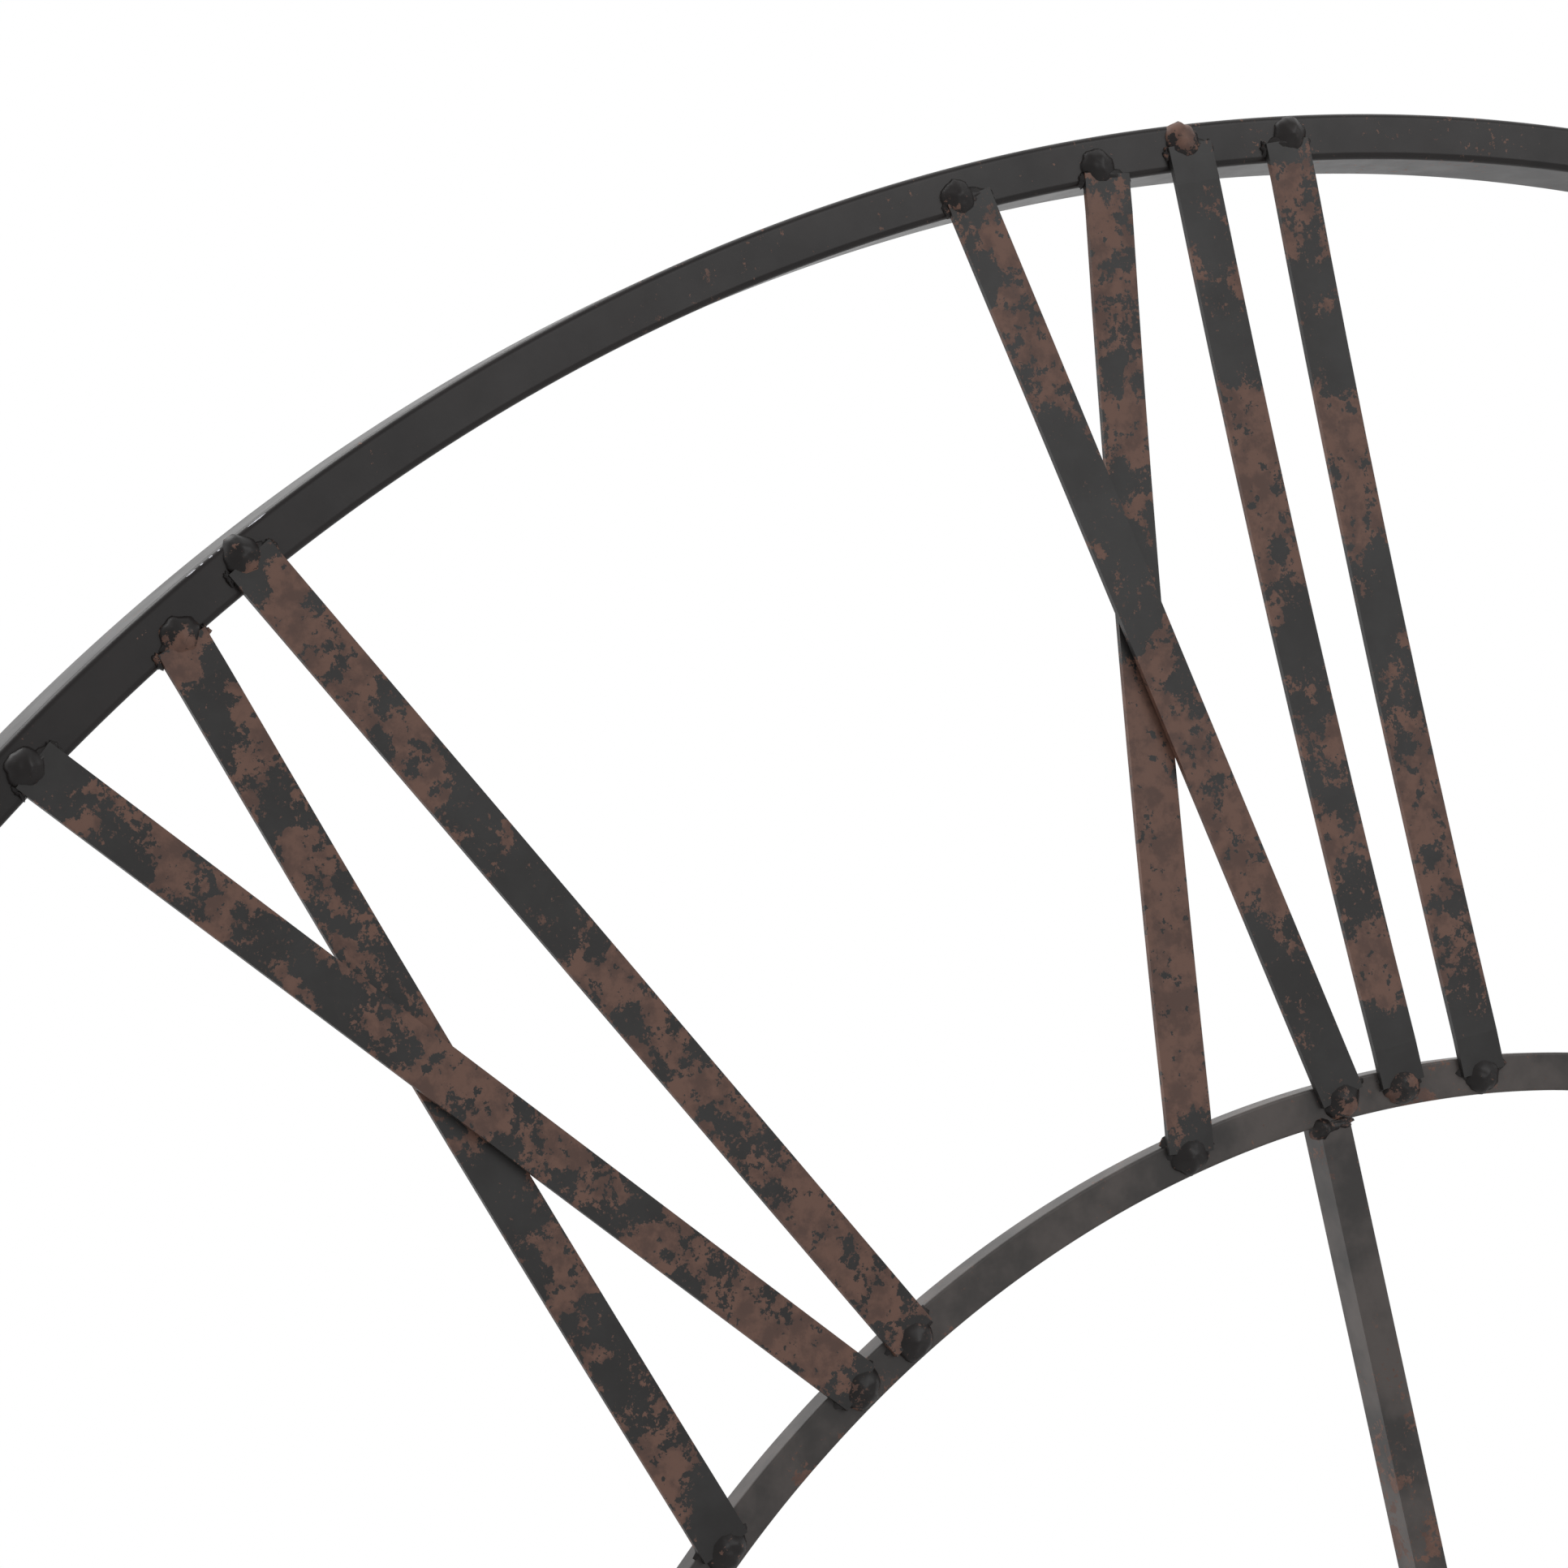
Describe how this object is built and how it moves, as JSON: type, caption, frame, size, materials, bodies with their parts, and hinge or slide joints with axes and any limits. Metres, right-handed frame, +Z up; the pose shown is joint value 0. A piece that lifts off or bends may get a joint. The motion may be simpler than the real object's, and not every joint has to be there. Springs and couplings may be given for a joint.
{
  "type": "garden wall clock",
  "caption": "Round openwork wall clock of welded steel: two rings, flat strip Roman numerals, a cross of spokes, a hub with a battery movement and spade hands.",
  "frame": {"origin": "centre of the hanging hole at 12 o'clock, on the plane of the wall at the back of the outer ring", "axes": "+Z up, +X to the right of somebody looking at the dial, the dial faces -Y, and +Y points into the wall"},
  "size_m": [0.9143, 0.0398, 0.9143],
  "materials": {
    "ring_paint": "satin",
    "strip_paint": "satin",
    "weld_metal": "satin",
    "hand_paint": "satin",
    "case_plastic": "matte",
    "wheel_plastic": "matte",
    "plated_steel": "satin",
    "brass_metal": "satin",
    "gasket_rubber": "matte",
    "board_resin": "satin",
    "winding": "gloss",
    "cell_sleeve": "gloss"
  },
  "bodies": {
    "frame": {"outer_ring": "ring_paint", "inner_ring": "ring_paint", "hub_cup": "ring_paint", "spoke_12": "ring_paint", "spoke_03": "ring_paint", "spoke_06": "ring_paint", "spoke_09": "ring_paint", "numeral_01": "strip_paint", "numeral_02": "strip_paint", "numeral_03": "strip_paint", "numeral_04": "strip_paint", "numeral_05": "strip_paint", "numeral_06": "strip_paint", "numeral_07": "strip_paint", "numeral_08": "strip_paint", "numeral_09": "strip_paint", "numeral_10": "strip_paint", "numeral_11": "strip_paint", "numeral_12": "strip_paint", "outer_weld_beads": "weld_metal", "inner_weld_beads": "weld_metal", "spoke_weld_beads": "weld_metal", "movement_case": "case_plastic", "movement_cover": "case_plastic", "case_screws": "plated_steel", "coil_core": "plated_steel", "stator": "plated_steel", "contact_positive": "plated_steel", "contact_negative": "plated_steel", "quartz_crystal": "plated_steel", "centre_tube": "brass_metal", "fixing_nut": "brass_metal", "fixing_washer": "brass_metal", "bridge_plate": "brass_metal", "gasket": "gasket_rubber", "circuit_board": "board_resin", "coil": "winding", "battery_cell": "cell_sleeve"},
    "minute_arbor": {"centre_wheel": "brass_metal", "minute_hand": "hand_paint", "minute_bush": "brass_metal", "hand_nut": "brass_metal"},
    "hour_pipe": {"hour_wheel": "wheel_plastic", "hour_hand": "hand_paint", "hour_bush": "brass_metal"},
    "motion_arbor": {"motion_wheel": "wheel_plastic"},
    "third_arbor": {"third_wheel": "wheel_plastic"},
    "seconds_arbor": {"seconds_wheel": "wheel_plastic"},
    "intermediate_arbor": {"intermediate_wheel": "wheel_plastic"},
    "rotor_arbor": {"rotor": "plated_steel"},
    "setting_arbor": {"setting_knob": "case_plastic"}
  },
  "joints": [
    {"name": "minute_turn", "type": "hinge", "parent": "frame", "child": "minute_arbor", "pos_m": [0, -0.02, -0.45235], "axis": [0, 1, 0], "continuous": true},
    {"name": "hour_turn", "type": "hinge", "parent": "frame", "child": "hour_pipe", "pos_m": [0, -0.0214, -0.45235], "axis": [0, 1, 0], "continuous": true},
    {"name": "motion_turn", "type": "hinge", "parent": "frame", "child": "motion_arbor", "pos_m": [-0.00831, -0.02, -0.44755], "axis": [0, 1, 0], "continuous": true},
    {"name": "third_turn", "type": "hinge", "parent": "frame", "child": "third_arbor", "pos_m": [0.00883, -0.017, -0.44725], "axis": [0, 1, 0], "continuous": true},
    {"name": "seconds_turn", "type": "hinge", "parent": "frame", "child": "seconds_arbor", "pos_m": [0.00576, -0.015, -0.43879], "axis": [0, 1, 0], "continuous": true},
    {"name": "intermediate_turn", "type": "hinge", "parent": "frame", "child": "intermediate_arbor", "pos_m": [-0.00101, -0.0125, -0.43698], "axis": [0, 1, 0], "continuous": true},
    {"name": "rotor_turn", "type": "hinge", "parent": "frame", "child": "rotor_arbor", "pos_m": [-0.00692, -0.01, -0.43594], "axis": [0, 1, 0], "continuous": true},
    {"name": "setting_turn", "type": "hinge", "parent": "frame", "child": "setting_arbor", "pos_m": [-0.01777, -0.01, -0.44922], "axis": [0, 1, 0], "continuous": true}
  ],
  "couplings": [
    {"joint": "hour_turn", "follows": "minute_turn", "ratio": 0.083333},
    {"joint": "motion_turn", "follows": "minute_turn", "ratio": -0.33333},
    {"joint": "third_turn", "follows": "minute_turn", "ratio": -7.5},
    {"joint": "seconds_turn", "follows": "minute_turn", "ratio": 60},
    {"joint": "intermediate_turn", "follows": "minute_turn", "ratio": -360},
    {"joint": "rotor_turn", "follows": "minute_turn", "ratio": 1800},
    {"joint": "setting_turn", "follows": "minute_turn", "ratio": 1}
  ]
}
